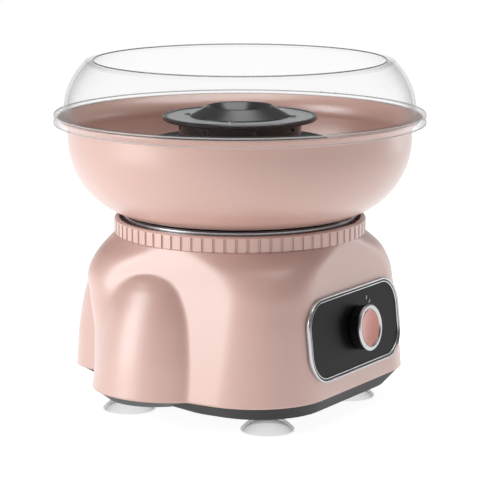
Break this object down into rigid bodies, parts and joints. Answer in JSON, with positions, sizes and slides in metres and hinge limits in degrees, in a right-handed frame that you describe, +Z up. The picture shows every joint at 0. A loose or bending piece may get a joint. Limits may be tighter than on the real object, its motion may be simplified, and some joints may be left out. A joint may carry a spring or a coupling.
{
  "type": "candy floss maker",
  "caption": "Tabletop candy floss maker: lobed base with leaning control panel and knob, lift-off bowl, spinning heated head, clear splash guard and suction feet.",
  "frame": {"origin": "on the spin axis of the head, at the ground under the suction feet", "axes": "+Z up along the spin axis, -Y to the front (control panel side), +X to the right seen from the front"},
  "size_m": [0.282, 0.282, 0.266],
  "materials": {
    "bearing_bronze": "sintered",
    "black_gloss": "gloss",
    "black_satin": "satin",
    "block_white": "plain",
    "board_green": "satin",
    "brass": "plain",
    "bright_trim": "polished",
    "carbon": "matt",
    "clear_guard": "clear",
    "clear_soft": "clear soft",
    "copper": "enamelled",
    "core_steel": "laminated",
    "cutout_case": "plain",
    "dark_pan": "satin",
    "element_steel": "heat tinted",
    "fan_plastic": "plain",
    "head_graphite": "semi gloss",
    "head_grey": "satin",
    "lead_cover": "satin",
    "lead_cover_dark": "satin",
    "magnet": "matt",
    "motor_steel": "zinc",
    "part_black": "plain",
    "pink_bowl": "satin",
    "pink_cap": "gloss",
    "pink_shell": "satin",
    "rubber_black": "matt",
    "screw_steel": "plain",
    "sheet_aluminium": "satin",
    "white_ceramic": "matt"
  },
  "bodies": {
    "base": {"base_shell": "pink_shell", "board_parts": "part_black", "bottom_pan": "dark_pan", "bottom_screws": "screw_steel", "bracket_dampers": "rubber_black", "bracket_screws": "screw_steel", "brushes": "carbon", "collar_ring": "pink_shell", "control_leads": "lead_cover", "cord_gland": "rubber_black", "deck_screws": "screw_steel", "foot_front_left": "clear_soft", "foot_front_right": "clear_soft", "foot_rear_left": "clear_soft", "foot_rear_right": "clear_soft", "heat_shield": "sheet_aluminium", "heater_dish": "sheet_aluminium", "heater_element": "element_steel", "heater_housing": "black_gloss", "heater_screws": "screw_steel", "heater_standoffs": "white_ceramic", "mains_leads": "lead_cover_dark", "motor_bearings": "bearing_bronze", "motor_bracket": "motor_steel", "motor_can": "motor_steel", "motor_end_cap": "part_black", "motor_magnets": "magnet", "motor_screws": "screw_steel", "panel_bezel": "bright_trim", "panel_plate": "black_gloss", "panel_screws": "screw_steel", "seat_ring": "black_gloss", "seat_trim_ring": "bright_trim", "supply_board": "board_green", "switch_body": "part_black", "switch_nut": "screw_steel", "switch_terminals": "brass", "terminal_block": "block_white", "thermal_cutout": "cutout_case"},
    "rotor": {"motor_shaft": "motor_steel", "armature_core": "core_steel", "armature_winding": "copper", "commutator": "copper", "cooling_fan": "fan_plastic", "drive_hub": "brass", "hub_pin": "screw_steel"},
    "spinner_head": {"head_hub": "brass", "head_cup": "head_graphite", "head_mesh": "element_steel", "head_disc": "head_grey", "head_edge_ring": "head_graphite", "head_dome": "head_graphite", "head_screws": "screw_steel"},
    "bowl": {"bowl": "pink_bowl"},
    "guard": {"splash_guard": "clear_guard"},
    "knob": {"switch_spindle": "screw_steel", "knob_body": "black_satin", "knob_ring": "bright_trim", "knob_cap": "pink_cap"}
  },
  "joints": [
    {"name": "rotor_spin", "type": "hinge", "parent": "base", "child": "rotor", "pos_m": [0, 0, 0.15], "axis": [0, 0, 1], "continuous": true},
    {"name": "head_pull", "type": "slide", "parent": "rotor", "child": "spinner_head", "axis": [0, 0, 1], "range_m": [0, 0.04]},
    {"name": "bowl_lift", "type": "slide", "parent": "base", "child": "bowl", "axis": [0, 0, 1], "range_m": [0, 0.1]},
    {"name": "guard_lift", "type": "slide", "parent": "bowl", "child": "guard", "axis": [0, 0, 1], "range_m": [0, 0.06]},
    {"name": "knob_turn", "type": "hinge", "parent": "base", "child": "knob", "pos_m": [0.007, -0.0998, 0.069], "axis": [0, -0.9945, 0.1045], "range_deg": [-60, 0]}
  ]
}
